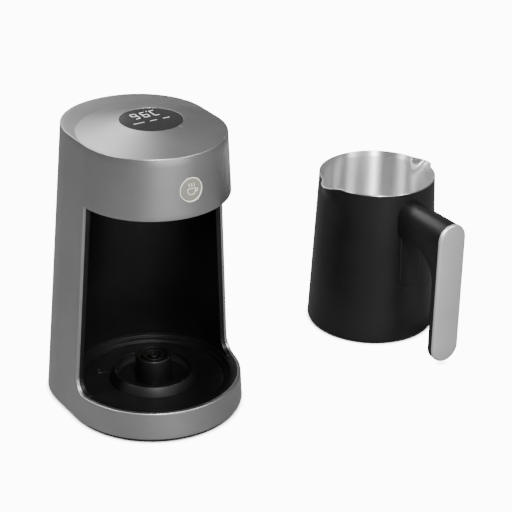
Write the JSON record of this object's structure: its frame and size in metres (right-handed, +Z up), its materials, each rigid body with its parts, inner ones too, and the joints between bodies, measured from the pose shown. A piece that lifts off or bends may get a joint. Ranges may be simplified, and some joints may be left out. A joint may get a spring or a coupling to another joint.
{
  "type": "electric coffee maker",
  "caption": "Small electric coffee maker: tapered grey housing with round display, start button and open cavity, beside a black steel-lined jug with two spouts and a handle.",
  "frame": {"origin": "on the table, in the middle of the footprint of the machine and the jug together", "axes": "+Z up, -Y the front that the button faces, +X from the machine to the jug"},
  "size_m": [0.3246, 0.155, 0.2153],
  "materials": {
    "grey_housing": "satin metallic grey",
    "display_glass": "smooth dark window",
    "black_plastic": "fine satin black",
    "circuit_board": "coated board",
    "screw_steel": "plated",
    "contact_brass": "bright",
    "black_rubber": "matt",
    "warm_white": "translucent ring",
    "button_face": "satin olive grey",
    "jug_steel": "brushed",
    "jug_black": "satin black coat",
    "heater_aluminium": "cast",
    "silver_plate": "satin silver"
  },
  "bodies": {
    "machine": {"outer_housing": "grey_housing", "display_lens": "display_glass", "display_module": "black_plastic", "display_board": "circuit_board", "head_floor": "black_plastic", "head_screws": "screw_steel", "boil_sensor": "black_plastic", "cavity_liner": "black_plastic", "base_tray": "black_plastic", "tray_ring": "black_plastic", "connector_body": "black_plastic", "connector_contacts": "contact_brass", "connector_pin": "contact_brass", "bottom_cover": "black_plastic", "rubber_feet": "black_rubber", "bottom_screws": "screw_steel", "cord_gland": "black_rubber", "button_light_ring": "warm_white", "button_guide": "black_plastic", "button_switch": "black_plastic", "button_board": "circuit_board", "control_board": "circuit_board", "board_spacers": "contact_brass", "control_chip": "black_plastic", "buzzer": "black_plastic", "power_board": "circuit_board", "transformer": "screw_steel", "relay": "black_plastic", "wiring_harness": "black_rubber", "supply_leads": "black_rubber"},
    "start_button": {"start_button": "button_face", "switch_plunger": "black_plastic"},
    "jug": {"jug_vessel": "jug_steel", "jug_jacket": "jug_black", "jug_base_cover": "black_plastic", "jug_socket": "black_plastic", "socket_contacts": "contact_brass", "heating_plate": "heater_aluminium", "heating_element": "heater_aluminium", "temperature_sensor": "screw_steel", "handle_mount": "jug_black", "handle_body": "jug_black", "handle_trim": "silver_plate", "handle_screws": "screw_steel"}
  },
  "joints": [
    {"name": "button_press", "type": "slide", "parent": "machine", "child": "start_button", "axis": [0, 1, 0], "range_m": [0, 0.0012], "stiffness_N_per_m": 800},
    {"name": "jug_lift", "type": "slide", "parent": "machine", "child": "jug", "axis": [0, 0, 1], "range_m": [0, 0.15]}
  ]
}
